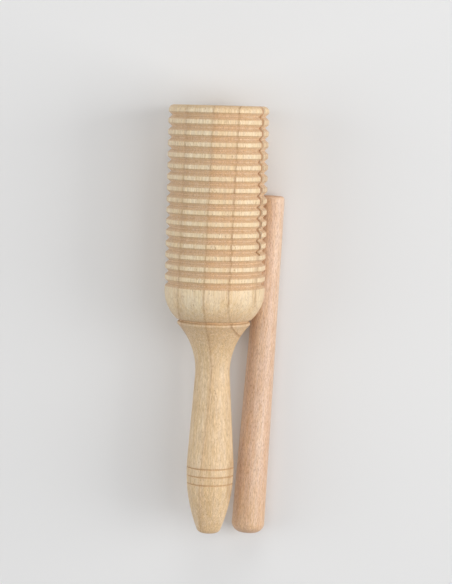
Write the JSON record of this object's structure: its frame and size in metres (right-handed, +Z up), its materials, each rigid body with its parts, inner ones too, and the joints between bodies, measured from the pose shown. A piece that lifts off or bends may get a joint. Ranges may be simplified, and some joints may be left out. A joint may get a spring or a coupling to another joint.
{
  "type": "guiro tone block with beater",
  "caption": "Ribbed hollow wooden tone block with a lengthwise sound slot and a turned handle, and its tapered wooden beater lying beside it.",
  "frame": {"origin": "on the table, under the centre of the box round the block and the beater as they lie side by side", "axes": "+Y along the block's turning axis, out of its open rim; +Z up from the table; +X from the block towards the beater"},
  "size_m": [0.0514, 0.189, 0.0434],
  "materials": {
    "block_wood": "pale hardwood, turned and sanded, clear satin lacquer",
    "beater_wood": "pinkish hardwood, turned and sanded, clear satin lacquer"
  },
  "bodies": {
    "block": {"tone_block": "block_wood"},
    "loose_beater": {"beater": "beater_wood"}
  },
  "joints": [
    {"name": "beater_out", "type": "slide", "parent": "block", "child": "loose_beater", "axis": [1, 0, 0], "range_m": [0, 0.06]}
  ]
}
